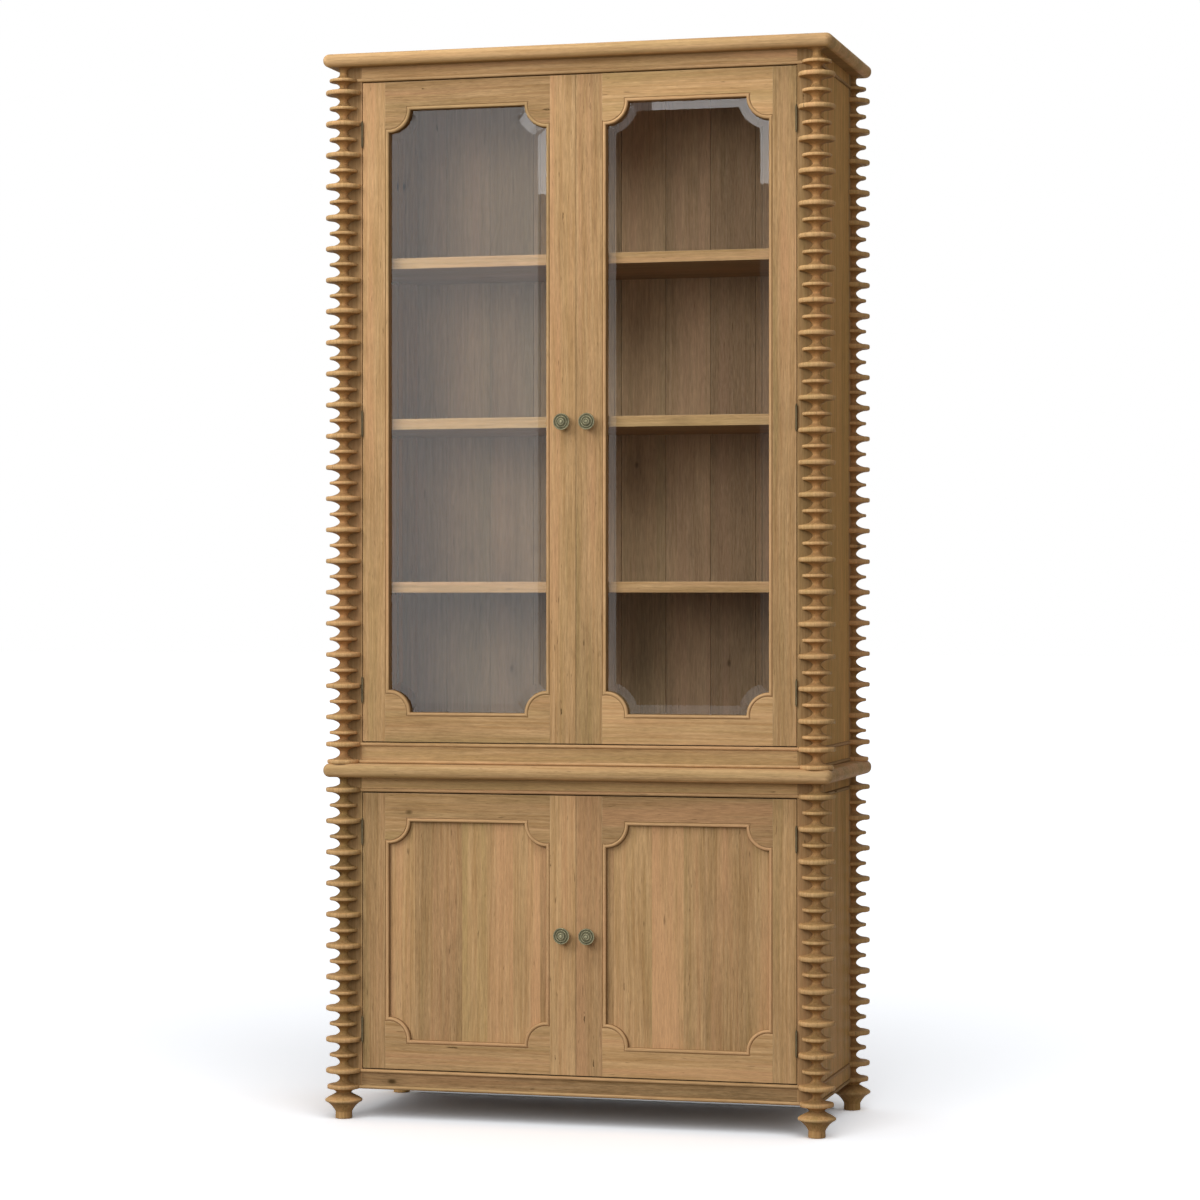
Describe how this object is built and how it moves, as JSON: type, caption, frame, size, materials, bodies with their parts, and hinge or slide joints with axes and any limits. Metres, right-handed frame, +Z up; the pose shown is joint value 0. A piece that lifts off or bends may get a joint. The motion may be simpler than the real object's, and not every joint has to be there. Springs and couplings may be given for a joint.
{
  "type": "display cabinet",
  "caption": "Tall display cabinet with glazed upper doors, a panelled cupboard below and a turned column of thin discs at each corner.",
  "frame": {"origin": "on the floor, in the middle of the four feet", "axes": "+Z up, the doors face -Y, and +X is to the right for someone looking at the doors"},
  "size_m": [1.14, 0.487, 2.335],
  "materials": {
    "case_wood": "satin waxed light hardwood with reddish and greenish staves",
    "column_wood": "satin waxed turned light hardwood",
    "inside_wood": "matte oiled light hardwood, darker inside the case",
    "glass": "clear bevelled pane",
    "knob_bronze": "antique bronze, worn on the rim",
    "hinge_bronze": "dark green bronze",
    "brass": "plain drawn brass"
  },
  "bodies": {
    "case": {"apron_beads": "case_wood", "ball_catches": "brass", "base_beads": "case_wood", "case_hinge_leaves": "hinge_bronze", "door_stops": "inside_wood", "foot_back_left": "column_wood", "foot_back_right": "column_wood", "foot_front_left": "column_wood", "foot_front_right": "column_wood", "hinge_pins": "hinge_bronze", "lower_back_boards": "inside_wood", "lower_column_back_left": "column_wood", "lower_column_back_right": "column_wood", "lower_column_front_left": "column_wood", "lower_column_front_right": "column_wood", "lower_corner_posts": "case_wood", "lower_floor": "inside_wood", "lower_frieze_bead": "case_wood", "lower_front_rails": "case_wood", "lower_shelf": "inside_wood", "lower_side_left": "case_wood", "lower_side_right": "case_wood", "shelf_pins": "brass", "top_board": "case_wood", "upper_back_boards": "inside_wood", "upper_column_back_left": "column_wood", "upper_column_back_right": "column_wood", "upper_column_front_left": "column_wood", "upper_column_front_right": "column_wood", "upper_corner_posts": "case_wood", "upper_floor": "inside_wood", "upper_frieze_bead": "case_wood", "upper_front_rails": "case_wood", "upper_shelf_bottom": "inside_wood", "upper_shelf_middle": "inside_wood", "upper_shelf_top": "inside_wood", "upper_side_left": "case_wood", "upper_side_right": "case_wood", "waist_board": "case_wood"},
    "upper_right_door": {"upper_right_door_beads": "case_wood", "upper_right_door_frame": "case_wood", "upper_right_door_glass": "glass", "upper_right_door_hinge_leaves": "hinge_bronze", "upper_right_door_knob": "knob_bronze"},
    "upper_left_door": {"upper_left_door_beads": "case_wood", "upper_left_door_frame": "case_wood", "upper_left_door_glass": "glass", "upper_left_door_hinge_leaves": "hinge_bronze", "upper_left_door_knob": "knob_bronze"},
    "lower_right_door": {"lower_right_door_beads": "case_wood", "lower_right_door_frame": "case_wood", "lower_right_door_hinge_leaves": "hinge_bronze", "lower_right_door_knob": "knob_bronze", "lower_right_door_panel": "case_wood"},
    "lower_left_door": {"lower_left_door_beads": "case_wood", "lower_left_door_frame": "case_wood", "lower_left_door_hinge_leaves": "hinge_bronze", "lower_left_door_knob": "knob_bronze", "lower_left_door_panel": "case_wood"}
  },
  "joints": [
    {"name": "upper_right_door_hinge", "type": "hinge", "parent": "case", "child": "upper_right_door", "pos_m": [0.4854, -0.2057, 1.5505], "axis": [0, 0, 1], "range_deg": [0, 110]},
    {"name": "upper_left_door_hinge", "type": "hinge", "parent": "case", "child": "upper_left_door", "pos_m": [-0.4854, -0.2057, 1.5505], "axis": [0, 0, -1], "range_deg": [0, 110]},
    {"name": "lower_right_door_hinge", "type": "hinge", "parent": "case", "child": "lower_right_door", "pos_m": [0.4854, -0.2057, 0.41375], "axis": [0, 0, 1], "range_deg": [0, 110]},
    {"name": "lower_left_door_hinge", "type": "hinge", "parent": "case", "child": "lower_left_door", "pos_m": [-0.4854, -0.2057, 0.41375], "axis": [0, 0, -1], "range_deg": [0, 110]}
  ]
}
